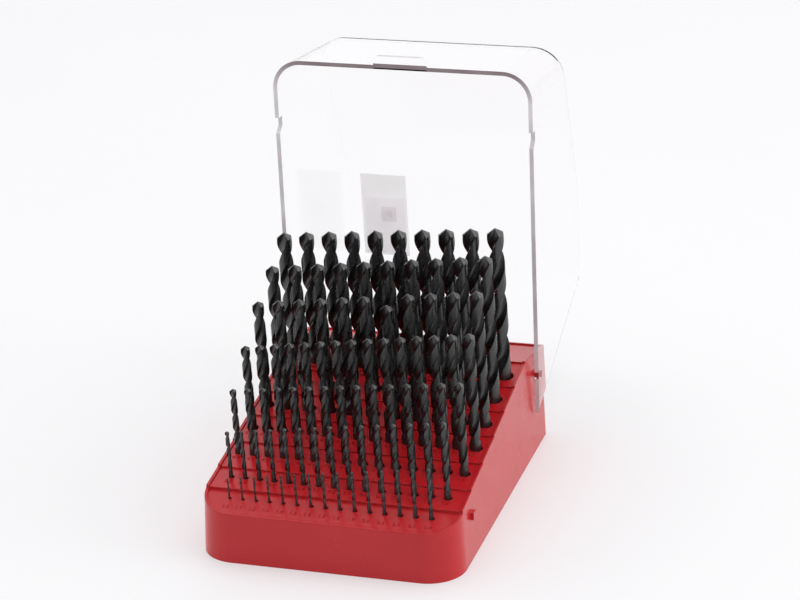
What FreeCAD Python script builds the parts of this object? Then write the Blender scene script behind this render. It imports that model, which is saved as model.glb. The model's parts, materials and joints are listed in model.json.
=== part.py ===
import FreeCAD, Part
import math
import os
import Sketcher
from FreeCAD import Placement, Rotation, Vector

# Case for ninety-one twist drills: a stepped moulded base with blind sockets, a clear
# hinged lid with its label, and the drills themselves. Millimetres, +Z up, the front
# of the case faces -Y. The origin is the centre of the base's underside. The lid is
# modelled shut, beside the hinge axis, and then placed open.

# Driving sizes: name, value and what it is
SIZES = [
    ("base_width", 156.2, "width of the base where it stands"),
    ("base_depth", 214.3, "depth of the base where it stands"),
    ("base_draft", 2.2, "draft of the base's outer walls, degrees"),
    ("front_corner_radius", 22.0, "plan radius of the two front corners"),
    ("back_corner_radius", 4.0, "plan radius of the two back corners"),
    ("front_height", 28.9, "height of the deck at its front edge"),
    ("back_height", 59.0, "height of the strip at the back edge"),
    ("front_deck_angle", 15.4, "slope of the first terrace, degrees"),
    ("deck_angle", 8.5, "slope of every other terrace, degrees"),
    ("front_step", 1.7, "height of the first step"),
    ("terrace_step", 1.0, "height of every other step"),
    ("rim_width", 1.8, "width of the raised edge round the deck"),
    ("rim_height", 0.8, "height of the raised edge above the deck"),
    ("base_wall", 2.4, "outer wall of the base"),
    ("deck_thickness", 2.6, "thickness of the deck"),
    ("socket_wall", 1.3, "material left beside a socket in its rib"),
    ("socket_clearance", 0.15, "radial play of a drill in its socket, beside its lean"),
    ("drill_lean", 2.0, "lean of the loose drills in their sockets, degrees"),
    ("size_step", 0.1, "difference between neighbouring drills"),
    ("flute_rise", 5.4, "length of one turn of a flute, in drill diameters"),
    ("point_angle", 118.0, "angle of the drill points, degrees"),
    ("shank_shown", 3.0, "plain shank that stands above a socket"),
    ("low_drill", 7.6, "drill that stands lower than its row"),
    ("low_drill_drop", 6.3, "how much lower that drill stands"),
    ("pin_radius", 2.2, "hinge pin"),
    ("pin_setback", 21.7, "hinge axis in front of the base's back edge"),
    ("pin_height", 48.95, "hinge axis above the table"),
    ("pin_clearance", 0.08, "radial play of the lid on the hinge pin"),
    ("pin_rib", 3.0, "rib across the base at the hinge"),
    ("nub_length", 5.0, "latch nub, front to back"),
    ("nub_height", 4.4, "latch nub, upwards"),
    ("lid_wall", 2.5, "wall of the lid"),
    ("lid_side_gap", 0.55, "air between the closed lid's rim and the base, each side"),
    ("lid_front_gap", 0.5, "air between the closed lid's rim and the base's front"),
    ("lid_stop_gap", 0.3, "air between the open lid's back wall and the base"),
    ("lid_draft", 1.15, "draft of the lid's side walls, degrees"),
    ("lid_rim_drop", 7.2, "rim of the closed lid below the hinge axis"),
    ("lid_front_depth", 83.7, "height of the lid's front wall above the rim"),
    ("lid_front_setback", 11.4, "lean of the lid's front wall over that height"),
    ("lid_crown_depth", 126.1, "rim to the front edge of the lid's level top"),
    ("lid_crown_reach", 79.7, "hinge axis to the front edge of the lid's level top"),
    ("lid_crown_rise", 3.3, "rise of the lid's level top towards its back edge"),
    ("lid_back_reach", 15.3, "hinge axis to the back edge of the lid's level top"),
    ("lid_ear_reach", 24.0, "hinge axis to the back end of the lid's rim"),
    ("lid_corner_radius", 18.0, "plan radius of the lid's front corners"),
    ("lid_edge_radius", 4.0, "radius of the lid's other outer edges"),
    ("lid_shut_angle", 6.3, "slope of the closed lid's rim, degrees"),
    ("lid_open_angle", -1.8, "lean back of the open lid past upright, degrees"),
    ("notch_setback", 40.1, "front of the lid's rim to the middle of the latch notch"),
    ("notch_depth", 5.0, "depth of the latch notch"),
    ("notch_clearance", 0.5, "air before and behind the latch nub in its notch"),
    ("notch_ramp", 4.0, "length of the ramp beside the notch"),
    ("tab_width", 33.0, "finger tab on the lid's front rim"),
    ("tab_reach", 5.6, "finger tab in front of the lid"),
    ("tab_thickness", 2.5, "finger tab"),
    ("tab_corner", 3.0, "corner radius of the finger tab"),
    ("label_width", 31.0, "label across the lid"),
    ("label_length", 58.0, "label along the lid"),
    ("label_thickness", 0.2, "label"),
    ("label_margin", 8.9, "label beside the rim of the lid's left wall"),
    ("label_reach", 49.5, "hinge axis to the label's middle"),
]

# Rows from the front: first drill, pieces, length of the terrace, row behind the step,
# side of the base's foot to the outer drills, socket depth, lengths shown by the first and
# last drill, and the flats that stand for a round shank or socket
ROW_COLUMNS = ("first", "pieces", "terrace", "place", "margin", "socket", "shown",
               "last_shown", "flats")
ROWS = [
    (1.0, 15, 21.3, 15.5, 17.9, 19.0, 12.5, 31.0, 6),
    (2.5, 15, 19.6, 11.5, 13.0, 20.0, 28.8, 47.2, 6),
    (4.0, 15, 25.7, 15.5, 9.5, 26.0, 40.4, 57.0, 6),
    (5.5, 15, 27.2, 15.0, 9.5, 29.0, 52.4, 71.9, 6),
    (7.0, 11, 24.9, 11.7, 10.6, 31.0, 66.6, 84.0, 8),
    (8.1, 10, 25.8, 12.4, 11.7, 35.0, 74.8, 91.2, 8),
    (9.1, 10, 26.6, 11.5, 11.7, 40.0, 82.3, 94.7, 8),
]
SINGLE_ROWS = 3        # rows at the back whose drills are objects of their own
GROUP_PIECES = 5       # drills in one object, in the other rows
OVERRUN = 20.0         # cutters run this far past what they cut, millimetres

# Half of a drill's section: shares of its radius, with the angles round it in degrees
LARGE_SECTION_SHARES = [(1.0, 0), (0.97, 85), (0.4, 132)]
SMALL_SECTION_SHARES = [(1.0, 0), (0.5, 75)]
BODY_SHARE = 0.99       # fluted body beside the shank, share of the diameter
LARGE_TWIST_STEP = 95   # degrees between the sections of a large drill
SMALL_TWIST_STEP = 115  # degrees between the sections of a small drill

doc = FreeCAD.newDocument("drill_case")
sheet = doc.addObject("Spreadsheet::Sheet", "Sizes")


def fill_sheet():
    rows = list(SIZES)
    for number, row in enumerate(ROWS, 1):
        for column, value in zip(ROW_COLUMNS, row):
            rows.append((f"row_{number}_{column}", value, "row of drills"))
    for line, (name, value, note) in enumerate(rows, 1):
        sheet.set(f"A{line}", note)
        sheet.set(f"B{line}", str(value))
        sheet.setAlias(f"B{line}", name)
    doc.recompute()


def size(name):
    return float(sheet.get(name))


def row_size(number, column):
    return size(f"row_{number}_{column}")


def slope_of(angle):
    return math.tan(math.radians(angle))


# A number is set, and a text is an expression that the property follows
def give(item, **values):
    for name, value in values.items():
        if isinstance(value, str):
            item.setExpression(name, value)
        else:
            setattr(item, name, value)
    return item


def new_body(label):
    body = doc.addObject("PartDesign::Body", label)
    body.Label = label
    return body


def new_sketch(body, name, role):
    plane = next(o for o in body.Origin.OriginFeatures if o.Role == role)
    sketch = body.newObject("Sketcher::SketchObject", name)
    sketch.AttachmentSupport = [(plane, "")]
    sketch.MapMode = "FlatFace"
    return sketch


# Rounded outline in plan, symmetric about the Y axis. Each size is a value with its
# expression: width, reach to the front, reach to the back and the two corner radii
def plan_outline(body, name, width, front, back, front_radius, back_radius):
    sketch = new_sketch(body, name, "XY_Plane")
    half, low, high = width[0] / 2, -front[0], back[0]
    rf, rb = front_radius[0], back_radius[0]
    lines = [((-half + rf, low), (half - rf, low)), ((half, low + rf), (half, high - rb)),
             ((half - rb, high), (-half + rb, high)), ((-half, high - rb), (-half, low + rf))]
    arcs = [((half - rf, low + rf), rf, -90), ((half - rb, high - rb), rb, 0),
            ((-half + rb, high - rb), rb, 90), ((-half + rf, low + rf), rf, 180)]
    for start, end in lines:
        sketch.addGeometry(Part.LineSegment(Vector(*start, 0), Vector(*end, 0)), False)
    for centre, radius, turn in arcs:
        circle = Part.Circle(Vector(*centre, 0), Vector(0, 0, 1), radius)
        start = math.radians(turn)
        sketch.addGeometry(Part.ArcOfCircle(circle, start, start + math.pi / 2), False)
    constraints = [("Horizontal", 2), ("Vertical", 1), ("Vertical", 3),
                   ("Equal", 4, 7), ("Equal", 5, 6), ("Symmetric", 0, 1, 0, 2, -2)]
    for side in range(4):
        constraints.append(("Tangent", side, 2, side + 4, 1))
        constraints.append(("Tangent", side + 4, 2, (side + 1) % 4, 1))
    for constraint in constraints:
        sketch.addConstraint(Sketcher.Constraint(*constraint))
    named = [("width", ("DistanceX", 3, 1, 1, 1), width),
             ("front", ("DistanceY", 0, 1, -1, 1), front),
             ("back", ("DistanceY", -1, 1, 2, 1), back),
             ("front_radius", ("Radius", 4), front_radius),
             ("back_radius", ("Radius", 5), back_radius)]
    for label, constraint, (value, expression) in named:
        index = sketch.addConstraint(Sketcher.Constraint(*constraint, value))
        sketch.renameConstraint(index, label)
        sketch.setExpression(f"Constraints.{label}", expression)
    return sketch


# Closed outline in the YZ plane through (y, z) points
def side_outline(body, name, points):
    sketch = new_sketch(body, name, "YZ_Plane")
    for (y1, z1), (y2, z2) in zip(points, points[1:] + points[:1]):
        sketch.addGeometry(Part.LineSegment(Vector(y1, z1, 0), Vector(y2, z2, 0)), False)
    return sketch


def pad(body, sketch, length, taper=None, symmetric=False):
    feature = body.newObject("PartDesign::Pad", sketch.Name + "_pad")
    feature.Profile = sketch
    feature.Type = "Length"
    give(feature, Length=length)
    if taper:
        give(feature, TaperAngle=taper)
    if symmetric:
        feature.SideType = "Symmetric"
    body.Tip = feature
    doc.recompute()
    return feature


# Prism across the case, its outline seen from the side
def side_prism(label, points, width):
    body = new_body(label)
    pad(body, side_outline(body, label + "_outline", points), width, symmetric=True)
    return body


def combine(kind, name, first, *others):
    item = doc.addObject(kind, name)
    if kind == "Part::MultiFuse":
        item.Shapes = [first, *others]
    else:
        item.Base, item.Tool = first, others[0]
    item.Refine = True
    return item


# Deck profile: terraces that climb to a ridge, then a strip that falls to the back edge
def deck_profile(lift=0.0):
    slope = slope_of(size("front_deck_angle"))
    y, z = -size("base_depth") / 2, size("front_height")
    points = [(y - OVERRUN, z - OVERRUN * slope + lift)]
    for number in range(1, len(ROWS) + 1):
        slope = slope_of(size("front_deck_angle" if number == 1 else "deck_angle"))
        length = row_size(number, "terrace")
        y, z = y + length, z + length * slope
        points.append((y, z + lift))
        z += size("front_step") if number == 1 else size("terrace_step")
        points.append((y, z + lift))
    back = size("base_depth") / 2
    fall = (z - size("back_height")) / (back - y)
    points.append((back + OVERRUN, size("back_height") - fall * OVERRUN + lift))
    return points


def ridge_height():
    return max(z for _, z in deck_profile(size("rim_height")))


def deck_height(place):
    points = deck_profile()
    for (y1, z1), (y2, z2) in zip(points, points[1:]):
        if y1 <= place <= y2 and y2 > y1:
            return z1 + (z2 - z1) * (place - y1) / (y2 - y1)
    raise ValueError("no deck there")


def row_place(number):
    steps = sum(row_size(k, "terrace") for k in range(1, number))
    return -size("base_depth") / 2 + steps + row_size(number, "place")


def near(one, two):
    return abs(one - two) < size("pin_clearance")


# Length of a drill above the deck
def shown_length(number, diameter, k, count):
    start, end = row_size(number, "shown"), row_size(number, "last_shown")
    drop = size("low_drill_drop") if near(diameter, size("low_drill")) else 0.0
    return start + (end - start) * k / (count - 1) - drop


# Drills of a row: diameter, place across, length shown
def row_drills(number):
    count = int(row_size(number, "pieces"))
    first = row_size(number, "first")
    spread = size("base_width") - 2 * row_size(number, "margin")
    diameters = [first + size("size_step") * k for k in range(count)]
    inner = sum(diameters) - (diameters[0] + diameters[-1]) / 2
    land = (spread - inner) / (count - 1)
    places = [-spread / 2]
    for one, two in zip(diameters, diameters[1:]):
        places.append(places[-1] + (one + two) / 2 + land)
    return [(diameter, place, shown_length(number, diameter, k, count))
            for k, (diameter, place) in enumerate(zip(diameters, places))]


# A leaning drill touches its socket at the mouth on one side and near the floor on the other
def socket_radius(diameter, depth):
    lean = math.radians(size("drill_lean"))
    play = depth * math.tan(lean) / 2 + size("socket_clearance")
    return diameter / 2 / math.cos(lean) + play


def rib_thickness(number):
    widest = max(diameter for diameter, _, _ in row_drills(number))
    radius = socket_radius(widest, row_size(number, "socket"))
    return 2 * (radius + size("socket_wall"))


# The drafted walls stand back from the foot by this much at a height above the table
def draft_setback(height):
    return height * slope_of(size("base_draft"))


def base_half_width(height):
    return size("base_width") / 2 - draft_setback(height)


def hinge_place():
    return size("base_depth") / 2 - size("pin_setback")


# Tapered block on the outline of the base, smaller all round by a named size
def tapered_block(label, inset=None):
    body = new_body(label)
    less, text = (size(inset), f" - Sizes.{inset}") if inset else (0.0, "")
    width = (size("base_width") - 2 * less, "Sizes.base_width" + text + text)
    reach = (size("base_depth") / 2 - less, "Sizes.base_depth / 2" + text)
    front_radius = (size("front_corner_radius") - less, "Sizes.front_corner_radius" + text)
    back_radius = (size("back_corner_radius") - less, "Sizes.back_corner_radius" + text)
    outline = plan_outline(body, label + "_outline", width, reach, reach, front_radius, back_radius)
    pad(body, outline, ridge_height(), taper="-Sizes.base_draft")
    return body


# Everything between a line across the deck and a level far above or below it
def beyond(label, line, level):
    ends = [(line[-1][0], level), (line[0][0], level)]
    return side_prism(label, line + ends, "Sizes.base_width * 2")


def cross_rib(name, place, thickness):
    rib = doc.addObject("Part::Box", name)
    give(rib, Length="Sizes.base_width", Width=thickness, Height=ridge_height())
    rib.Placement.Base = Vector(-size("base_width") / 2, place - thickness / 2, 0)
    return rib


# A socket has as many flats as the shank in it, corner to corner
def socket_holes(number):
    holes = []
    place, depth = row_place(number), row_size(number, "socket")
    for diameter, across, _ in row_drills(number):
        hole = doc.addObject("Part::Prism", "socket")
        give(hole, Polygon=f"Sizes.row_{number}_flats", Height=depth + OVERRUN,
             Circumradius=socket_radius(diameter, depth))
        hole.Placement.Base = Vector(across, place, deck_height(place) - depth)
        holes.append(hole)
    return holes


# Point beside the hinge axis in the lid's own axes, where it is when the lid is shut
def shut_point(y, z):
    angle = math.radians(size("lid_shut_angle"))
    return (hinge_place() + y * math.cos(angle) - z * math.sin(angle),
            size("pin_height") + y * math.sin(angle) + z * math.cos(angle))


# Hinge axis to the front of the lid's rim, which hangs just in front of the base
def lid_reach():
    angle = math.radians(size("lid_shut_angle"))
    to_front = size("base_depth") - size("pin_setback")
    rim_height = (size("pin_height") - size("lid_rim_drop") * math.cos(angle)
                  - to_front * math.tan(angle))
    reach = to_front - draft_setback(rim_height) + size("lid_front_gap") + size("lid_wall")
    return (reach + size("lid_rim_drop") * math.sin(angle)) / math.cos(angle)


def notch_reach():
    return lid_reach() - size("notch_setback")


def lid_inner_half_width():
    front_of_rim = shut_point(-lid_reach(), -size("lid_rim_drop"))
    return base_half_width(front_of_rim[1]) + size("lid_side_gap")


def lid_half_width():
    return lid_inner_half_width() + size("lid_wall")


# Hinge pins and latch nubs, moulded on the base's side walls
def pins_and_nubs():
    pieces = []
    nub_y, nub_z = shut_point(-notch_reach(), size("notch_depth") / 2 - size("lid_rim_drop"))
    root = size("base_wall") / 2
    for side, name in ((-1, "left"), (1, "right")):
        pin = doc.addObject("Part::Cylinder", name + "_pin")
        start = base_half_width(size("pin_height")) - root
        give(pin, Radius="Sizes.pin_radius", Height=lid_half_width() - start)
        pin.Placement = Placement(Vector(side * start, hinge_place(), size("pin_height")),
                                  Rotation(Vector(0, 1, 0), 90 * side))
        nub = doc.addObject("Part::Box", name + "_nub")
        start, end = base_half_width(nub_z) - root, lid_half_width() - size("lid_wall") / 2
        give(nub, Length=end - start, Width="Sizes.nub_length", Height="Sizes.nub_height")
        nub.Placement.Base = Vector(start if side > 0 else -end, nub_y - size("nub_length") / 2,
                                    nub_z - size("nub_height") / 2)
        pieces += [pin, nub]
    return pieces


def make_base():
    air = ridge_height() + OVERRUN
    block = tapered_block("base_block")
    above_rim = beyond("air_above_rim", deck_profile(size("rim_height")), air)
    trimmed = combine("Part::Cut", "trimmed_block", block, above_rim)
    above_deck = beyond("air_above_deck", deck_profile(), air)
    recess = combine("Part::Common", "deck_recess", tapered_block("inside_rim", "rim_width"),
                     above_deck)
    under_deck = beyond("space_under_deck", deck_profile(-size("deck_thickness")), -OVERRUN)
    hollow = combine("Part::Common", "hollow", tapered_block("inside_walls", "base_wall"),
                     under_deck)
    rows = range(1, len(ROWS) + 1)
    ribs = [cross_rib(f"row_{n}_rib", row_place(n), rib_thickness(n)) for n in rows]
    ribs.append(cross_rib("hinge_rib", hinge_place(), size("pin_rib")))
    cells = combine("Part::Cut", "cells", hollow, combine("Part::MultiFuse", "ribs", *ribs))
    sockets = [hole for n in rows for hole in socket_holes(n)]
    removed = combine("Part::MultiFuse", "removed", recess, cells, *sockets)
    moulding = combine("Part::Cut", "moulding", trimmed, removed)
    base = combine("Part::MultiFuse", "base", moulding, *pins_and_nubs())
    base.Label = "base"
    return base


def lid_back_depth():
    return size("lid_crown_depth") + size("lid_crown_rise")


# Side profile of the shut lid beside the hinge axis: front of the rim, top of the front
# wall, both edges of the level top, back end of the rim
def lid_profile():
    rim = -size("lid_rim_drop")
    return [(-lid_reach(), rim),
            (size("lid_front_setback") - lid_reach(), rim + size("lid_front_depth")),
            (-size("lid_crown_reach"), rim + size("lid_crown_depth")),
            (-size("lid_back_reach"), rim + lid_back_depth()),
            (size("lid_ear_reach"), rim)]


# The outline inside another, each side moved in by its own inset
def inset_outline(points, insets):
    lines = []
    for (y1, z1), (y2, z2), inset in zip(points, points[1:] + points[:1], insets):
        length = math.hypot(y2 - y1, z2 - z1)
        y_way, z_way = (y2 - y1) / length, (z2 - z1) / length
        lines.append((y1 + z_way * inset, z1 - y_way * inset, y_way, z_way))
    corners = []
    for (y1, z1, a1, b1), (y2, z2, a2, b2) in zip(lines[-1:] + lines[:-1], lines):
        along = ((y2 - y1) * b2 - (z2 - z1) * a2) / (a1 * b2 - b1 * a2)
        corners.append((y1 + along * a1, z1 + along * b1))
    return corners


def lid_inner_profile():
    wall = size("lid_wall")
    return inset_outline(lid_profile(), [wall, wall, wall, wall, 0.0])


# Height above the hinge axis at which the open lid's back wall meets the base's back
def back_gap():
    rim, reach = size("lid_rim_drop"), size("lid_ear_reach")
    lean = (reach + size("lid_back_reach")) / lid_back_depth()
    gap = size("pin_setback") - draft_setback(size("pin_height")) + size("lid_stop_gap")
    edge = reach - lean * (gap + rim)
    below = size("pin_height") - edge
    gap = size("pin_setback") - draft_setback(below) + size("lid_stop_gap")
    angle = math.radians(size("lid_open_angle"))
    return (gap + edge * math.sin(angle)) / math.cos(angle)


def faces_where(shape, test):
    return [f"Face{number}" for number, face in enumerate(shape.Faces, 1) if test(face.BoundBox)]


def edges_where(shape, test):
    return [f"Edge{number}" for number, edge in enumerate(shape.Edges, 1) if test(edge.BoundBox)]


def round_off(body, feature, edges, radius):
    fillet = body.newObject("PartDesign::Fillet", "rounding")
    fillet.Base = (feature, edges)
    give(fillet, Radius=radius)
    body.Tip = fillet
    doc.recompute()
    return fillet


# Solid with the lid's drafted sides on a side profile whose first point is on the rim
def drafted_solid(label, profile, half_width):
    body = new_body(label)
    rim = profile[0][1]
    prism = pad(body, side_outline(body, label + "_outline", profile), 2 * half_width,
                symmetric=True)
    draft = body.newObject("PartDesign::Draft", label + "_draft")
    draft.Base = (prism, faces_where(prism.Shape, lambda box: near(box.XLength, 0)))
    draft.NeutralPlane = (prism, faces_where(prism.Shape, lambda box: near(box.ZMax, rim)))
    draft.Reversed = True
    give(draft, Angle="Sizes.lid_draft")
    body.Tip = draft
    for _ in range(2):     # the draft finds its faces only once it is in the body
        doc.recompute()
    return body, draft


def rounded_solid(label, profile, half_width, corner_radius, edge_radius=None):
    body, draft = drafted_solid(label, profile, half_width)
    (foot, rim), (_, front_top) = profile[:2]
    corners = round_off(body, draft, edges_where(draft.Shape, lambda box: near(box.YMin, foot)
                        and near(box.ZMin, rim) and near(box.ZMax, front_top)), corner_radius)
    if edge_radius:
        edges = edges_where(corners.Shape, lambda box: not near(box.ZMax, rim))
        round_off(body, corners, edges, edge_radius)
    return body


# The lid's hinge end: hinge axis in the middle of the pins, opened for the stand
def lid_placement():
    turn = -(90 + size("lid_open_angle"))
    return Placement(Vector(0, hinge_place(), size("pin_height")), Rotation(Vector(1, 0, 0), turn))


def make_lid():
    rim = -size("lid_rim_drop")
    outer = rounded_solid("lid_outside", lid_profile(), lid_half_width(),
                          "Sizes.lid_corner_radius", "Sizes.lid_edge_radius")
    inner = rounded_solid("lid_inside", lid_inner_profile(), lid_inner_half_width(),
                          "Sizes.lid_corner_radius - Sizes.lid_wall")
    gap_top, gap_back = back_gap(), size("lid_ear_reach") + OVERRUN
    ear_gap, _ = drafted_solid("gap_between_ears", [(0.0, rim), (0.0, gap_top),
                               (gap_back, gap_top), (gap_back, rim)], lid_inner_half_width())
    pin_hole = doc.addObject("Part::Cylinder", "pin_hole")
    give(pin_hole, Radius="Sizes.pin_radius + Sizes.pin_clearance",
         Height=2 * (lid_half_width() + OVERRUN))
    pin_hole.Placement = Placement(Vector(-lid_half_width() - OVERRUN, 0, 0),
                                   Rotation(Vector(0, 1, 0), 90))
    half_notch = size("nub_length") / 2 + size("notch_clearance")
    front, back = -notch_reach() - half_notch, -notch_reach() + half_notch
    top, ramp_end = rim + size("notch_depth"), back + size("notch_ramp")
    notch = side_prism("notch", [(front, rim - OVERRUN), (front, top), (back, top),
                                 (ramp_end, rim), (ramp_end, rim - OVERRUN)],
                       "Sizes.base_width * 2")
    tab_body = new_body("finger_tab")
    root = "(Sizes.tab_reach + Sizes.lid_wall / 2) / 2"
    half_tab = ((size("tab_reach") + size("lid_wall") / 2) / 2, root)
    corner = (size("tab_corner"), "Sizes.tab_corner")
    back_corner = (size("lid_wall") / 2, "Sizes.lid_wall / 2")
    tab_outline = plan_outline(tab_body, "tab_outline", (size("tab_width"), "Sizes.tab_width"),
                               half_tab, half_tab, corner, back_corner)
    pad(tab_body, tab_outline, "Sizes.tab_thickness")
    tab_body.Placement.Base = Vector(0, half_tab[0] - lid_reach() - size("tab_reach"), rim)
    with_tab = combine("Part::MultiFuse", "lid_with_tab", outer, tab_body)
    removed = combine("Part::MultiFuse", "lid_removed", inner, ear_gap, pin_hole, notch)
    lid = combine("Part::Cut", "lid", with_tab, removed)
    lid.Label = "lid"
    lid.Placement = lid_placement()
    return lid


# The label lies on the inside of the lid's level top
def make_label():
    _, _, (front_y, front_z), (back_y, back_z), _ = lid_inner_profile()
    angle = math.atan2(back_z - front_z, back_y - front_y)
    start_y = -size("label_reach") - size("label_length") / 2 * math.cos(angle)
    start_z = front_z + (start_y - front_y) * math.tan(angle)
    thickness = size("label_thickness")
    label = doc.addObject("Part::Box", "label")
    give(label, Length="Sizes.label_width", Width="Sizes.label_length",
         Height="Sizes.label_thickness")
    corner = Vector(size("label_margin") - lid_inner_half_width(),
                    start_y + thickness * math.sin(angle), start_z - thickness * math.cos(angle))
    on_lid = Placement(corner, Rotation(Vector(1, 0, 0), math.degrees(angle)))
    label.Placement = lid_placement() * on_lid
    return label


# Corners of a drill's section at a height, turned with the flutes
def drill_section(radius, turn, height, shares, turns=(0, 180)):
    corners = []
    for half_turn in turns:
        for share, angle in shares:
            around = math.radians(angle + half_turn + turn)
            reach = radius * share
            corners.append(Vector(reach * math.cos(around), reach * math.sin(around), height))
    return corners


def flat_face(*corners):
    return Part.Face(Part.makePolygon([*corners, corners[0]]))


# Twisted two-flute body with its point, from its start up. Its sides are flat triangles
def fluted_body(diameter, length, shares, twist_step):
    radius = diameter * BODY_SHARE / 2
    turns = length / (diameter * size("flute_rise"))
    steps = max(1, round(360 * turns / twist_step))
    sections = [drill_section(radius, 360 * turns * k / steps, length * k / steps, shares)
                for k in range(steps + 1)]
    faces = [flat_face(*reversed(sections[0]))]
    for low, high in zip(sections, sections[1:]):
        for k in range(len(low)):
            after = (k + 1) % len(low)
            faces.append(flat_face(low[k], low[after], high[k]))
            faces.append(flat_face(low[after], high[after], high[k]))
    tip = Vector(0, 0, length + radius / slope_of(size("point_angle") / 2))
    top = sections[-1]
    for k, corner in enumerate(top):
        faces.append(flat_face(corner, top[(k + 1) % len(top)], tip))
    return Part.Solid(Part.Shell(faces))


# One drill on its own axis: plain shank from its foot, then the fluted body
def drill_shape(diameter, socket, shown, flats, large):
    shank_length = socket + size("shank_shown")
    point = diameter * BODY_SHARE / 2 / slope_of(size("point_angle") / 2)
    shares = LARGE_SECTION_SHARES if large else SMALL_SECTION_SHARES
    twist_step = LARGE_TWIST_STEP if large else SMALL_TWIST_STEP
    body = fluted_body(diameter, socket + shown - shank_length - point, shares, twist_step)
    body.translate(Vector(0, 0, shank_length))
    flat_share = [(1.0, 360 * k / flats) for k in range(flats)]
    foot = drill_section(diameter / 2, 0, 0, flat_share, turns=(0,))
    shank = flat_face(*foot).extrude(Vector(0, 0, shank_length))
    return shank.fuse(body).Solids[0]


# A drill leans to the left, its foot on the socket's floor
def drill_placement(diameter, across, number):
    place, depth = row_place(number), row_size(number, "socket")
    lean = math.radians(size("drill_lean"))
    foot = Vector(across + depth * math.tan(lean) / 2, place,
                  deck_height(place) - depth + diameter / 2 * math.sin(lean))
    return Placement(foot, Rotation(Vector(0, 1, 0), -size("drill_lean")))


def size_name(diameter):
    return f"{diameter:.1f}".replace(".", "p")


def drill_object(label, drills, number, large):
    socket, flats = row_size(number, "socket"), int(row_size(number, "flats"))
    places = [drill_placement(diameter, across, number) for diameter, across, _ in drills]
    shapes = []
    for (diameter, _, shown), place in zip(drills, places):
        shape = drill_shape(diameter, socket, shown, flats, large)
        shape.Placement = places[0].inverse() * place
        shapes.append(shape)
    item = doc.addObject("Part::Feature", label)
    item.Shape = shapes[0] if len(shapes) == 1 else Part.Compound(shapes)
    item.Placement = places[0]
    item.Label = label
    return item


def make_drills():
    items = []
    for number in range(1, len(ROWS) + 1):
        drills = row_drills(number)
        single = number > len(ROWS) - SINGLE_ROWS
        group = 1 if single else GROUP_PIECES
        for start in range(0, len(drills), group):
            chosen = drills[start:start + group]
            label = "drill_" + size_name(chosen[0][0])
            if not single:
                label = f"drills_{size_name(chosen[0][0])}_to_{size_name(chosen[-1][0])}"
            items.append(drill_object(label, chosen, number, single))
    return items


def check_and_export(pieces):
    doc.recompute()
    for item in doc.Objects:
        if {"Invalid", "Error"} & set(item.State):
            raise RuntimeError(f"{item.Name} did not compute: {item.State}")
    for item in pieces:
        if item.Shape.isNull() or not item.Shape.isValid():
            raise RuntimeError(f"{item.Label} has no valid shape")
    os.makedirs("parts", exist_ok=True)
    for item in pieces:
        item.Shape.exportStep(f"parts/{item.Label}.step")
        print(item.Label, len(item.Shape.Solids), round(item.Shape.Volume, 1))


fill_sheet()
check_and_export([make_base(), make_lid(), make_label(), *make_drills()])
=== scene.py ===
import json
import math
import re

import bmesh
import bpy
from mathutils import Matrix, Vector
from mathutils.bvhtree import BVHTree


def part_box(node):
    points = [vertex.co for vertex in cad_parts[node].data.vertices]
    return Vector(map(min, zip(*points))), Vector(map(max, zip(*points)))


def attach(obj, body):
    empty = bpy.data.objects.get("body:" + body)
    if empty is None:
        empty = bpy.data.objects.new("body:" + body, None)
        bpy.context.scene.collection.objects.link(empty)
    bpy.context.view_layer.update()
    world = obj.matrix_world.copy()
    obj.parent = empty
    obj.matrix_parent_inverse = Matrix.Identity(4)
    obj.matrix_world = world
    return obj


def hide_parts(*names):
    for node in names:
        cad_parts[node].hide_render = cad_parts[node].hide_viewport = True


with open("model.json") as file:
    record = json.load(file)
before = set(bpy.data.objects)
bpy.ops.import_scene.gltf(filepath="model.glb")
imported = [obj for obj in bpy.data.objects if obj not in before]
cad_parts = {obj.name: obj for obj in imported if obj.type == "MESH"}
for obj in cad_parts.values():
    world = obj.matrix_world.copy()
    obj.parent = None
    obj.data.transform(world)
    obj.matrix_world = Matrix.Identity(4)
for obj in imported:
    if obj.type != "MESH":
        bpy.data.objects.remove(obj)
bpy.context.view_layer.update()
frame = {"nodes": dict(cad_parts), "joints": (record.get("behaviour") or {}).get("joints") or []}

MM = 0.001

# Camera, in metres and degrees
TARGET = (0.02553, -0.02585, 0.13675)
AZIMUTH, ELEVATION, ROLL = 17.29, 21.64, -2.04
DISTANCE = 1.51535
LENS_MM, SENSOR_MM = 119.27, 36.0
CLIP_START, CLIP_END = 0.05, 50

# Room: bright all round, darker in front of the case, blended over a range of its direction
WORLD_STRENGTH = 1.045
FRONT_OF_ROOM = (0.28, 0.28, 0.29)
REST_OF_ROOM = (0.99, 0.99, 1.0)
ROOM_BLEND = (-0.95, 0.05)

# Lights: name, place, aim, size and power
LIGHTS = (("key", (0.25, -0.1, 1.9), (0, 0, 0.05), (1.8, 1.8), 6),
          ("side", (1.7, 0.1, 0.8), (0, 0, 0.1), (0.9, 1.2), 4.5))

# Floor, and how much it glows so that its shadows stay light
FLOOR_REACH = 6
FLOOR_GLOW = 0.345
FLOOR_GLOW_COLOUR = (0.99, 0.99, 1.0)

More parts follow.
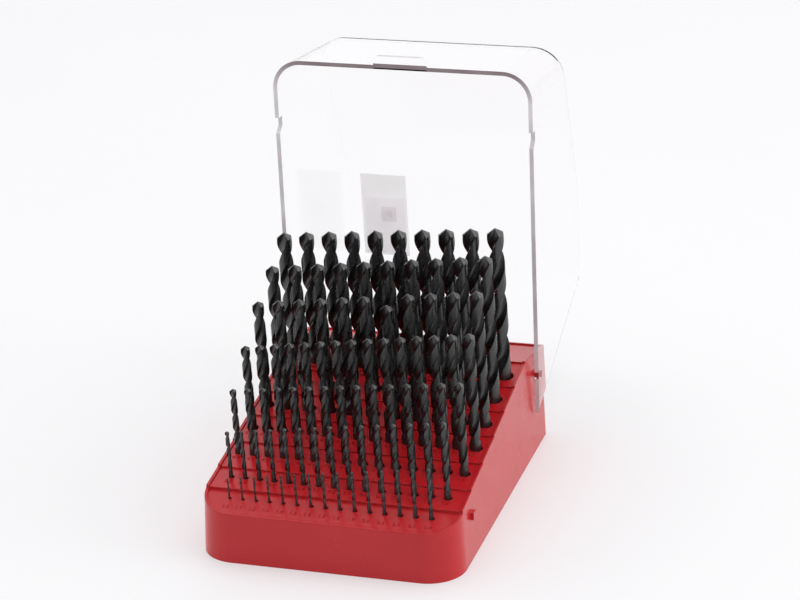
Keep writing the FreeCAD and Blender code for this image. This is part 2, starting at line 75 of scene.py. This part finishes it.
# The two colours of each material, which a soft noise mixes
FLOOR = (0.595, 0.595, 0.60), (0.605, 0.605, 0.61)
RED = (0.53, 0.007, 0.012), (0.57, 0.010, 0.015)
CLEAR = (0.995, 0.99, 0.992), (1.0, 0.995, 1.0)
# Painted light and shade on the clear lid's cut edge: pale low down, dark at the top
LOW_EDGE_PAINTED_LIGHT = (0.90, 0.87, 0.89), (0.62, 0.58, 0.60)
TOP_EDGE_PAINTED_SHADE = (0.34, 0.27, 0.28), (0.25, 0.19, 0.20)
OXIDE = (0.007, 0.007, 0.007), (0.012, 0.0115, 0.012)
GROUND = (0.060, 0.058, 0.057), (0.088, 0.085, 0.083)
SHEET = (0.98, 0.97, 0.972), (1.0, 0.985, 0.988)
BAND = (0.99, 0.98, 0.98), (1.0, 0.99, 0.99)
PANEL = (0.93, 0.89, 0.905), (0.95, 0.91, 0.925)
MARK = (0.76, 0.71, 0.75), (0.80, 0.76, 0.79)

NOISE_RANGE = (0.3, 0.7)
NOISE_DETAIL = 3.0
BUMP_DEPTH = 0.00001
BEVEL_RADIUS, BEVEL_SAMPLES = 0.0007, 4
# Heights over which the painted shade on the lid's cut edge goes from light to dark
EDGE_SHADE_HEIGHTS = (0.225, 0.243)       # heights between which the lid's cut edge turns dark

# Drills: shares of the radius or the diameter, angles in degrees
CORE_SHARE = 0.17                   # radius of the web between the flutes
CLEARANCE_SHARE = 0.975             # land behind the margin
MARGIN_ANGLE = 9.0                  # width of the margin
MARGIN_STEP = 1                     # angle over which the margin falls to the land
HEEL_ANGLE = 79.0                   # end of the land
POINT_ANGLE = 118.0
RELIEF_SHARE = 0.75                 # fall of the ground flank over half a turn, in radii
RUN_OUT_SHARE = 1.1                 # run-out of the flutes at the shank, in diameters
FLUTE_RISE = 5.4                    # one turn of a flute, in diameters
TIP_TURN = 67.0                     # a lip's place round the drill's axis
TIP_SPREAD = 6.0                    # how much that place varies from drill to drill
TIP_PACE = 47                       # how fast it varies with the diameter in millimetres
FLUTE_RINGS, FEWEST_RINGS = 26, 8   # in one turn of the flutes, and at least in all
KNEE_SHARE = 1.5                    # where the rings bend to the point, in radii below the tip
POINT_RINGS = (0.75, 0.5, 0.25)
FINE_FROM = 4 * MM                  # thicker drills have more points in their section
FINE_STEPS, COARSE_STEPS = (6, 12), (3, 7)      # on the land and in the flute
SHARP_ANGLE = 38                    # edges that bend more look sharp
FOOT_CHAMFER_SHARE = 0.16           # chamfer of the foot, in diameters
CHAMFER_RING, SHANK_RING = 1.2, 0.97            # shares of the chamfer's and the shank's height
SAME_PLACE_DIGITS = 6               # corners that agree to so many digits are one

# Drill in its socket, in metres
LIFT = 0.005                        # its slide ends this far above the socket
SHANK_SHOWN = 0.003                 # plain shank above the socket

# Lip round a socket's mouth, in metres
LIP_STEPS = 24                      # points round it
LIP_PLAY = 0.0001                   # from the drill to the lip
LIP_REACH = 0.0004                  # past the edge of the socket
LIP_RISE = 0.00006                  # above the deck
LIP_DEPTH = 0.0008                  # into the socket

# Raised size in front of each socket, in metres
NUMBER_HEIGHT = 0.0038
NUMBER_GAP = 0.0034
FRONT_NUMBER_GAP = 0.0062
FRONT_ROW_WIDEST = 2.45 * MM        # the front row holds the drills below this diameter
NUMBER_RISE = 0.00022
RAY_HEIGHT = 1                      # the deck is looked for from here down

# Cut edge of the lid, in metres
RIM_SKIN = 0.00004                  # from the lid's own face to the edge that shows
TAB_REACH = 0.0056                  # from the edge to the top of the finger tab
TAB_HALF = 0.0165                   # half the width of the tab
TAB_LIFT = 0.0009                   # the edge is higher behind the tab
MOUTH_DEPTH = 0.012                 # the edge lies this near the front of the open lid
PIN_SHOWN, PIN_SHOWN_BELOW = 0.0037, 0.0006     # gap above and below the pins' height
LARGE_FACE = 2e-5                   # smaller faces don't tell which way the mouth looks
FACING = 0.3                        # how nearly a face of the edge looks that way, at least

# Plates on the label: name, place across and along it in shares, lift and colour
LABEL_PLATES = (("label_band", (0.02, 0.98), (0.75, 0.99), 0.02 * MM, "band"),
                ("label_panel", (0.06, 0.94), (0.03, 0.71), 0.02 * MM, "panel"),
                ("label_mark", (0.42, 0.75), (0.42, 0.60), 0.04 * MM, "mark"),
                ("label_mark_middle", (0.51, 0.66), (0.47, 0.55), 0.06 * MM, "panel"))
CORNER_PLAY = MM / 10


def in_scene(item):
    bpy.context.scene.collection.objects.link(item)
    return item


def mesh_object(name, points, faces):
    mesh = bpy.data.meshes.new(name)
    mesh.from_pydata([tuple(p) for p in points], [], faces)
    mesh.validate()
    return in_scene(bpy.data.objects.new(name, mesh))


def object_from(build, name, material):
    mesh = bpy.data.meshes.new(name)
    build.to_mesh(mesh)
    build.free()
    mesh.materials.append(material)
    return in_scene(bpy.data.objects.new(name, mesh))


def camera_axes():
    az, el, roll = (math.radians(v) for v in (AZIMUTH, ELEVATION, ROLL))
    back = Vector((math.sin(az) * math.cos(el), -math.cos(az) * math.cos(el), math.sin(el)))
    right = Vector((math.cos(az), math.sin(az), 0))
    up = back.cross(right)
    turned_right = math.cos(roll) * right + math.sin(roll) * up
    turned_up = math.cos(roll) * up - math.sin(roll) * right
    return turned_right, turned_up, back


def make_camera():
    right, up, back = camera_axes()
    data = bpy.data.cameras.new("camera")
    data.lens, data.sensor_width = LENS_MM, SENSOR_MM
    data.clip_start, data.clip_end = CLIP_START, CLIP_END
    camera = in_scene(bpy.data.objects.new("camera", data))
    place = Vector(TARGET) + back * DISTANCE
    camera.matrix_world = Matrix(((right.x, up.x, back.x, place.x), (right.y, up.y, back.y, place.y),
                                  (right.z, up.z, back.z, place.z), (0, 0, 0, 1)))
    bpy.context.scene.camera = camera


def area_light(name, place, aim, size, power):
    data = bpy.data.lights.new(name, "AREA")
    data.shape, data.size, data.size_y = "RECTANGLE", size[0], size[1]
    data.energy = power
    light = in_scene(bpy.data.objects.new(name, data))
    light.location = place
    light.rotation_euler = (Vector(aim) - Vector(place)).to_track_quat("-Z", "Y").to_euler()


def make_world():
    world = bpy.data.worlds.new("studio")
    bpy.context.scene.world = world
    world.use_nodes = True
    tree = world.node_tree
    background = tree.nodes["Background"]
    background.inputs["Strength"].default_value = WORLD_STRENGTH
    place = tree.nodes.new("ShaderNodeTexCoord")
    split = tree.nodes.new("ShaderNodeSeparateXYZ")
    tree.links.new(place.outputs["Generated"], split.inputs["Vector"])
    front = tree.nodes.new("ShaderNodeMapRange")
    front.interpolation_type = "SMOOTHSTEP"
    front.inputs["From Min"].default_value, front.inputs["From Max"].default_value = ROOM_BLEND
    tree.links.new(split.outputs["Y"], front.inputs["Value"])
    mix = tree.nodes.new("ShaderNodeMix")
    mix.data_type = "RGBA"
    mix.inputs["A"].default_value = (*FRONT_OF_ROOM, 1)
    mix.inputs["B"].default_value = (*REST_OF_ROOM, 1)
    tree.links.new(front.outputs["Result"], mix.inputs["Factor"])
    tree.links.new(mix.outputs["Result"], background.inputs["Color"])


def make_floor():
    corners = [(x * FLOOR_REACH, y * FLOOR_REACH, 0) for x, y in ((-1, -1), (1, -1), (1, 1), (-1, 1))]
    floor = mesh_object("floor", corners, [(0, 1, 2, 3)])
    floor.data.materials.append(floor_material())


# A material with a Principled shader and the nodes that its methods add
class Shader:
    def __init__(self, name, **values):
        self.material = bpy.data.materials.new(name)
        self.material.use_nodes = True
        self.tree = self.material.node_tree
        self.inputs = self.tree.nodes["Principled BSDF"].inputs
        for key, value in values.items():
            self.inputs[key.replace("_", " ")].default_value = value

    def node(self, kind):
        return self.tree.nodes.new(kind)

    def link(self, out, into):
        self.tree.links.new(out, into)

    def place(self):
        return self.node("ShaderNodeTexCoord").outputs["Object"]

    def noise(self, scale, detail):
        noise = self.node("ShaderNodeTexNoise")
        noise.inputs["Scale"].default_value = scale
        noise.inputs["Detail"].default_value = detail
        self.link(self.place(), noise.inputs["Vector"])
        return noise.outputs["Fac"]

    def range(self, value, start, end, low=0, high=1):
        item = self.node("ShaderNodeMapRange")
        item.inputs["From Min"].default_value = start
        item.inputs["From Max"].default_value = end
        item.inputs["To Min"].default_value = low
        item.inputs["To Max"].default_value = high
        self.link(value, item.inputs["Value"])
        return item.outputs["Result"]

    def colours(self, pair, scale, detail=NOISE_DETAIL):
        item = self.node("ShaderNodeMix")
        item.data_type = "RGBA"
        self.link(self.range(self.noise(scale, detail), *NOISE_RANGE), item.inputs["Factor"])
        item.inputs["A"].default_value = (*pair[0], 1)
        item.inputs["B"].default_value = (*pair[1], 1)
        return item.outputs["Result"]

    def tint(self, pair, scale):
        self.link(self.colours(pair, scale), self.inputs["Base Color"])

    def roughness(self, low, high, scale, detail=NOISE_DETAIL):
        self.link(self.range(self.noise(scale, detail), *NOISE_RANGE, low, high),
                  self.inputs["Roughness"])

    def bump(self, strength, scale, detail, bevel=False):
        item = self.node("ShaderNodeBump")
        item.inputs["Distance"].default_value = BUMP_DEPTH
        item.inputs["Strength"].default_value = strength
        self.link(self.noise(scale, detail), item.inputs["Height"])
        if bevel:
            edge = self.node("ShaderNodeBevel")
            edge.samples = BEVEL_SAMPLES
            edge.inputs["Radius"].default_value = BEVEL_RADIUS
            self.link(edge.outputs["Normal"], item.inputs["Normal"])
        self.link(item.outputs["Normal"], self.inputs["Normal"])


def floor_material():
    shader = Shader("pale_floor", Roughness=0.55, Specular_IOR_Level=0.2, Emission_Strength=FLOOR_GLOW,
                    Emission_Color=(*FLOOR_GLOW_COLOUR, 1))
    shader.tint(FLOOR, scale=3.0)
    return shader.material


def red_material():
    shader = Shader("moulded_red", Specular_IOR_Level=0.45)
    shader.tint(RED, scale=28.0)
    shader.roughness(low=0.20, high=0.28, scale=90.0)
    shader.bump(strength=0.3, scale=260.0, detail=2.0, bevel=True)
    return shader.material


def lid_material():
    shader = Shader("clear_lid", IOR=1.18, Transmission_Weight=1.0, Roughness=0.0)
    shader.tint(CLEAR, scale=9.0)
    shader.bump(strength=0.2, scale=60.0, detail=1.0)
    return shader.material


# Cut edge of the lid's wall, with painted light and shade: pale lower down, darker and warmer at the
# top of the open lid
def edge_painted_light_and_shade():
    shader = Shader("lid_edge_painted_shade", Roughness=0.25, Specular_IOR_Level=0.6)
    split = shader.node("ShaderNodeSeparateXYZ")
    shader.link(shader.place(), split.inputs["Vector"])
    both = shader.node("ShaderNodeMix")
    both.data_type = "RGBA"
    shader.link(shader.range(split.outputs["Z"], *EDGE_SHADE_HEIGHTS), both.inputs["Factor"])
    shader.link(shader.colours(LOW_EDGE_PAINTED_LIGHT, scale=45.0, detail=1.0), both.inputs["A"])
    shader.link(shader.colours(TOP_EDGE_PAINTED_SHADE, scale=60.0, detail=1.0), both.inputs["B"])
    shader.link(both.outputs["Result"], shader.inputs["Base Color"])
    return shader.material


def steel_material(name, pair):
    shader = Shader(name, Specular_IOR_Level=0.85)
    shader.tint(pair, scale=220.0)
    shader.roughness(low=0.24, high=0.38, scale=500.0, detail=4.0)
    shader.bump(strength=0.6, scale=2600.0, detail=2.0)
    return shader.material


# Thin paper that lets the light from behind through
def paper_material(name, pair):
    shader = Shader(name, Roughness=0.5, IOR=1.03, Transmission_Weight=0.95)
    shader.tint(pair, scale=60.0)
    return shader.material


# Points of a drill's section on one half turn: share of the radius, angle, and angle on the
# round shank, from the flute up over the land to the margin, which leads when the drill cuts
def section_points(land_steps, flute_steps):
    behind_margin = MARGIN_ANGLE + MARGIN_STEP
    points = [(1.0, 0.0, 0.0), (1.0, MARGIN_ANGLE, MARGIN_ANGLE),
              (CLEARANCE_SHARE, behind_margin, behind_margin)]
    for k in range(1, land_steps + 1):
        angle = MARGIN_ANGLE + (HEEL_ANGLE - MARGIN_ANGLE) * k / land_steps
        points.append((CLEARANCE_SHARE, angle, angle))
    middle = (HEEL_ANGLE + 180) / 2
    half = math.radians((180 - HEEL_ANGLE) / 2)
    centre = (1 - CORE_SHARE ** 2) / (2 * (math.cos(half) - CORE_SHARE))
    bend = centre - CORE_SHARE
    swing = math.atan2(math.sin(half), centre - math.cos(half))
    for k in range(1, flute_steps):
        turn = swing * (1 - 2 * k / flute_steps)
        x, y = centre - bend * math.cos(turn), -bend * math.sin(turn)
        points.append((math.hypot(x, y), middle + math.degrees(math.atan2(y, x)),
                       HEEL_ANGLE + (180 - HEEL_ANGLE) * k / flute_steps))
    return [(share, -angle, -even) for share, angle, even in reversed(points)]


# Drill on its own axis from its foot at zero, in metres
def drill_mesh(name, diameter, length, shank, tip_turn):
    radius = diameter / 2
    half = section_points(*(FINE_STEPS if diameter > FINE_FROM else COARSE_STEPS))
    columns = [(share, math.radians(angle + turn), math.radians(even + turn))
               for turn in (0, 180) for share, angle, even in half]
    total = len(columns)
    slope = math.tan(math.radians(POINT_ANGLE / 2))
    middle_of_flute = (HEEL_ANGLE + 180) / 360
    knee = length - KNEE_SHARE * radius
    points, rings = [], []

    # Places are distances from the axis, turns round it and heights
    def ring(places):
        rings.append(list(range(len(points), len(points) + len(places))))
        points.extend((reach * math.cos(turn), reach * math.sin(turn), z) for reach, turn, z in places)

    def twist(z):
        return tip_turn + 2 * math.pi * (z - length) / (diameter * FLUTE_RISE)

    def tip_height(share, angle):
        behind = (-angle % math.pi) / math.pi
        if behind > middle_of_flute:
            behind = 0
        return length - share * radius / slope - RELIEF_SHARE * radius * behind * share

    chamfer = diameter * FOOT_CHAMFER_SHARE
    for z, share in ((0, 1 - 2 * FOOT_CHAMFER_SHARE), (chamfer, 1), (chamfer * CHAMFER_RING, 1),
                     (shank * SHANK_RING, 1)):
        ring([(radius * share, even + twist(shank), z) for _, _, even in columns])
    count = max(FEWEST_RINGS, round(FLUTE_RINGS * (length - shank) / (diameter * FLUTE_RISE)))
    for z in (shank + (length - shank) * k / count for k in range(count + 1)):
        depth = min(1.0, max(0.0, (z - shank) / (diameter * RUN_OUT_SHARE)))
        depth = depth * depth * (3 - 2 * depth)
        places = []
        for share, angle, even in columns:
            height = z
            if z > knee:
                height = knee + (z - knee) * (tip_height(share, angle) - knee) / (length - knee)
            turn = even + (angle - even) * depth
            places.append((radius * (1 + (share - 1) * depth), turn + twist(height), height))
        ring(places)
    body = (len(rings) - 1) * total
    for scale in POINT_RINGS:
        ring([(radius * share * scale, angle + twist(tip_height(share, angle)),
               tip_height(share * scale, angle)) for share, angle, _ in columns])
    faces = []
    for low, high in zip(rings, rings[1:]):
        for k in range(total):
            after = (k + 1) % total
            faces.append((low[k], low[after], high[after], high[k]))
    foot, tip = len(points), len(points) + 1
    points += [(0, 0, 0), (0, 0, length)]
    for k in range(total):
        after = (k + 1) % total
        faces.append((foot, rings[0][after], rings[0][k]))
        faces.append((tip, rings[-1][k], rings[-1][after]))
    item = mesh_object(name, points, faces)
    for face in item.data.polygons:
        face.use_smooth = True
        if body <= face.index < body + len(POINT_RINGS) * total or face.vertices[0] == tip:
            face.material_index = 1
    item.data.set_sharp_from_angle(angle=math.radians(SHARP_ANGLE))
    return item


# Lowest and highest corner of each separate solid in a CAD node, from left to right
def solid_boxes(node):
    mesh = frame["nodes"][node].data
    parent = list(range(len(mesh.vertices)))

    def root(k):
        while parent[k] != k:
            parent[k] = parent[parent[k]]
            k = parent[k]
        return k

    same = {}
    for vertex in mesh.vertices:
        key = tuple(round(c, SAME_PLACE_DIGITS) for c in vertex.co)
        parent[root(vertex.index)] = root(same.setdefault(key, vertex.index))
    for edge in mesh.edges:
        one, two = edge.vertices
        parent[root(one)] = root(two)
    groups = {}
    for vertex in mesh.vertices:
        groups.setdefault(root(vertex.index), []).append(vertex.co)
    boxes = [[Vector(end(c[i] for c in group) for i in range(3)) for end in (min, max)]
             for group in groups.values()]
    return sorted(boxes, key=lambda box: box[1].x)


# Makes the drills, and returns each socket's mouth, half its room for the lean, and the
# diameter of its drill
def make_drills():
    steel = steel_material("black_oxide_steel", OXIDE)
    ground = steel_material("ground_point", GROUND)
    sockets = []
    for joint in frame["joints"]:
        if joint["type"] != "slide":
            continue
        axis = Vector(joint["axis"]).normalized()
        lean = math.asin(-axis.x)
        node = joint["child"]
        depth = joint["range_m"][1] - LIFT
        whole, tenth = re.match(r"drills?_(\d+)p(\d)", node).groups()
        for k, (low, high) in enumerate(solid_boxes(node)):
            diameter = (int(whole) + (int(tenth) + k) / 10) * MM
            tip_turn = math.radians(TIP_TURN + TIP_SPREAD * math.sin(diameter / MM * TIP_PACE))
            name = f"drill_{diameter / MM:.1f}mm".replace(".", "p")
            foot = Vector((high.x - diameter / 2 * math.cos(lean), (low.y + high.y) / 2,
                           low.z + diameter / 2 * math.sin(lean)))
            length = (high.z - foot.z) / math.cos(lean)
            item = drill_mesh(name, diameter, length, depth + SHANK_SHOWN, tip_turn)
            item.data.transform(Matrix.Translation(foot) @ Matrix.Rotation(-lean, 4, "Y"))
            item.data.materials.append(steel)
            item.data.materials.append(ground)
            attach(item, joint["child"])
            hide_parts(node)
            play = -axis.x / axis.z * depth / 2
            sockets.append((foot + axis * depth, play, diameter))
    return sockets


# Part of the lid's cut edge inside a left, right, lower and upper bound, moved up by a lift
def rim_part(left, right, low, high, lift=0):
    lid = frame["nodes"]["lid"].data
    down = min((face.normal for face in lid.polygons if face.area > LARGE_FACE), key=lambda n: n.y)
    build = bmesh.new()
    build.from_mesh(lid)
    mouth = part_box("lid")[0].y + MOUTH_DEPTH
    others = [f for f in build.faces
              if f.normal.dot(down) < FACING or f.calc_center_median().y > mouth]
    bmesh.ops.delete(build, geom=others, context="FACES")
    for place, outward in (((left, 0, 0), (-1, 0, 0)), ((right, 0, 0), (1, 0, 0)),
                           ((0, 0, low), (0, 0, -1)), ((0, 0, high), (0, 0, 1))):
        parts = build.verts[:] + build.edges[:] + build.faces[:]
        bmesh.ops.bisect_plane(build, geom=parts, plane_co=place, plane_no=outward,
                               clear_outer=True)
    bmesh.ops.translate(build, verts=build.verts, vec=down * RIM_SKIN + Vector((0, 0, lift)))
    return build


# Cut edge of the lid's wall round its mouth, a thin skin on the lid that carries painted light
# and shade, higher behind the tab and open where the hinge pins show through the wall
def make_rim(material):
    pin = next(joint for joint in frame["joints"] if joint["name"] == "lid_hinge")["pos_m"][2]
    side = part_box("lid")[1].x
    foot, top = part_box("lid")[0].z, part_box("lid")[1].z - TAB_REACH
    whole = bmesh.new()
    for part in (rim_part(-side, side, foot, pin - PIN_SHOWN_BELOW),
                 rim_part(-side, -TAB_HALF, pin + PIN_SHOWN, top),
                 rim_part(TAB_HALF, side, pin + PIN_SHOWN, top),
                 rim_part(-TAB_HALF, TAB_HALF, pin + PIN_SHOWN, top, TAB_LIFT)):
        mesh = bpy.data.meshes.new("part")
        part.to_mesh(mesh)
        part.free()
        whole.from_mesh(mesh)
        bpy.data.meshes.remove(mesh)
    item = object_from(whole, "lid_edge_painted_shade", material)
    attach(item, "lid")


# Flat plate on the label: its place across and along the label in shares, from its
# lower left corner as seen from the front
def label_plate(name, across, along, lift, material):
    label = frame["nodes"]["label"].data
    face = max(label.polygons, key=lambda f: -f.normal.y * f.area)
    corners = [label.vertices[v].co for v in face.vertices]
    low, high = min(c.z for c in corners), max(c.z for c in corners)
    left, right = min(c.x for c in corners), max(c.x for c in corners)
    foot = next(c for c in corners if abs(c.z - low) < CORNER_PLAY)
    head = next(c for c in corners if abs(c.z - high) < CORNER_PLAY)
    points = []
    for x, t in ((0, 0), (1, 0), (1, 1), (0, 1)):
        share_x = across[0] + (across[1] - across[0]) * x
        share_t = along[0] + (along[1] - along[0]) * t
        point = foot + (head - foot) * share_t
        points.append(Vector((left + (right - left) * share_x, point.y, point.z))
                      + face.normal * lift)
    item = mesh_object(name, points, [(0, 1, 2, 3)])
    item.data.materials.append(material)
    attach(item, "lid")


def make_label():
    colours = {"band": paper_material("label_band", BAND),
               "panel": paper_material("label_panel", PANEL),
               "mark": paper_material("label_mark", MARK)}
    for name, across, along, lift, colour in LABEL_PLATES:
        label_plate(name, across, along, lift, colours[colour])


def base_tree():
    base = frame["nodes"]["base"].data
    return BVHTree.FromPolygons([v.co for v in base.vertices],
                                [tuple(f.vertices) for f in base.polygons])


# Point and normal of the deck in front of a socket, where its size stands
def deck_in_front(tree, mouth, diameter):
    y = mouth.y - diameter / 2 - (FRONT_NUMBER_GAP if diameter < FRONT_ROW_WIDEST else NUMBER_GAP)
    spot, normal, _, _ = tree.ray_cast(Vector((mouth.x, y, RAY_HEIGHT)), Vector((0, 0, -1)))
    return spot, normal


# Low lip round the mouth of each socket, open to the right, where the leaning drill leaves room
def make_lips(sockets, tree, material):
    points, faces = [], []
    for mouth, play, diameter in sockets:
        spot, normal = deck_in_front(tree, mouth, diameter)
        inner, outer = diameter / 2 + LIP_PLAY, diameter / 2 + play + LIP_REACH
        first = len(points)
        for k in range(LIP_STEPS):
            turn = 2 * math.pi * (k + 0.5) / LIP_STEPS
            shift = 2 * play if math.cos(turn) > 0 else 0
            inside = mouth.x + shift + inner * math.cos(turn), mouth.y + inner * math.sin(turn)
            outside = mouth.x + play + outer * math.cos(turn), mouth.y + outer * math.sin(turn)
            for (x, y), lift in ((outside, -LIP_RISE), (outside, LIP_RISE),
                                 (inside, LIP_RISE), (inside, -LIP_DEPTH)):
                z = spot.z - (normal.x * (x - spot.x) + normal.y * (y - spot.y)) / normal.z
                points.append((x, y, z + lift))
        for k in range(LIP_STEPS):
            low, high = first + 4 * k, first + 4 * ((k + 1) % LIP_STEPS)
            for j in range(4):
                after = (j + 1) % 4
                faces.append((low + j, high + j, high + after, low + after))
    item = mesh_object("socket_lips", points, faces)
    item.data.materials.append(material)
    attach(item, "base")


# Raised size in front of each socket, on the base
def make_numbers(sockets, tree, material):
    build = bmesh.new()
    for mouth, _, diameter in sockets:
        curve = bpy.data.curves.new("size", "FONT")
        curve.body = f"{diameter / MM:.1f}"
        curve.align_x, curve.align_y = "CENTER", "CENTER"
        curve.size, curve.extrude, curve.resolution_u = NUMBER_HEIGHT, NUMBER_RISE, 2
        text = bpy.data.objects.new("size", curve)
        spot, normal = deck_in_front(tree, mouth, diameter)
        mesh = bpy.data.meshes.new_from_object(text)
        slope = math.atan2(-normal.y, normal.z)
        mesh.transform(Matrix.Translation(spot) @ Matrix.Rotation(slope, 4, "X"))
        build.from_mesh(mesh)
        bpy.data.objects.remove(text)
        bpy.data.meshes.remove(mesh)
        bpy.data.curves.remove(curve)
    item = object_from(build, "embossed_sizes", material)
    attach(item, "base")


def dress_node(name, material):
    materials = frame["nodes"][name].data.materials
    materials.clear()
    materials.append(material)


make_camera()
make_world()
for light in LIGHTS:
    area_light(*light)
make_floor()
red = red_material()
dress_node("base", red)
dress_node("lid", lid_material())
dress_node("label", paper_material("printed_label", SHEET))
make_rim(edge_painted_light_and_shade())
make_label()
sockets = make_drills()
tree = base_tree()
make_lips(sockets, tree, red)
make_numbers(sockets, tree, red)

bpy.context.scene.view_settings.view_transform = "Standard"
